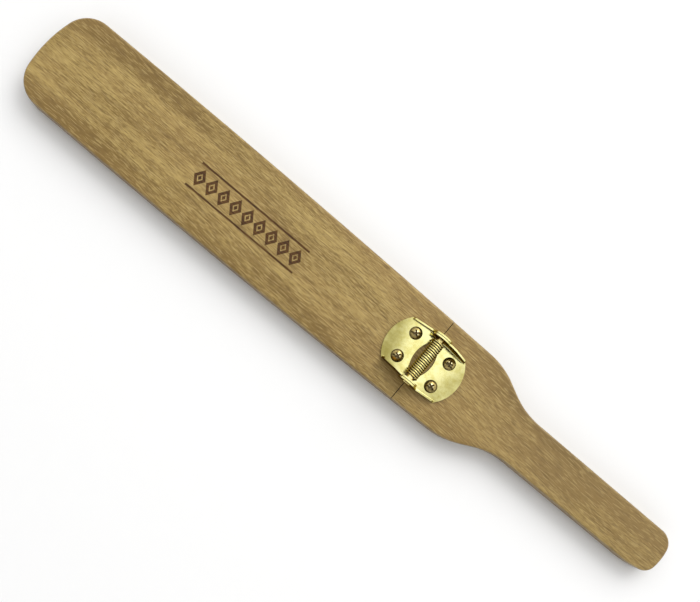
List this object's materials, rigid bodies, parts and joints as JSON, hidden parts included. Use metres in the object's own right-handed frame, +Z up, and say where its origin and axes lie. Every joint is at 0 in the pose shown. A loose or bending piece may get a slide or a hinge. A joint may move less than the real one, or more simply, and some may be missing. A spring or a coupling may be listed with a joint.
{
  "type": "percussion slapstick",
  "caption": "Percussion slapstick: a long wooden paddle with a handle, and an upper clapper board held shut by a sprung brass hinge.",
  "frame": {"origin": "middle of the clapper's length and width, on the underside that it rests on", "axes": "+X from the flap tip to the handle end, +Y across, +Z up through the hinge"},
  "size_m": [0.4326, 0.058, 0.0247],
  "materials": {
    "hardwood": "oiled, satin, open-pored",
    "brass_plate": "bright brass plating, lightly mottled",
    "brass_wire": "bright brass plating",
    "antique_brass": "darkened brass, satin"
  },
  "bodies": {
    "base": {"base_board": "hardwood", "handle_block": "hardwood", "handle_hinge_leaf": "brass_plate", "hinge_pin": "brass_wire", "torsion_spring": "brass_wire", "handle_screw_a": "antique_brass", "handle_screw_b": "antique_brass"},
    "flap": {"flap_board": "hardwood", "flap_hinge_leaf": "brass_plate", "flap_screw_a": "antique_brass", "flap_screw_b": "antique_brass"}
  },
  "joints": [
    {"name": "flap_hinge", "type": "hinge", "parent": "base", "child": "flap", "pos_m": [0.04762, 0, 0.0191], "axis": [0, 1, 0], "range_deg": [0, 95], "stiffness_Nm_per_rad": 0.12, "springref_deg": -68.75, "deforming": ["torsion_spring"]}
  ]
}
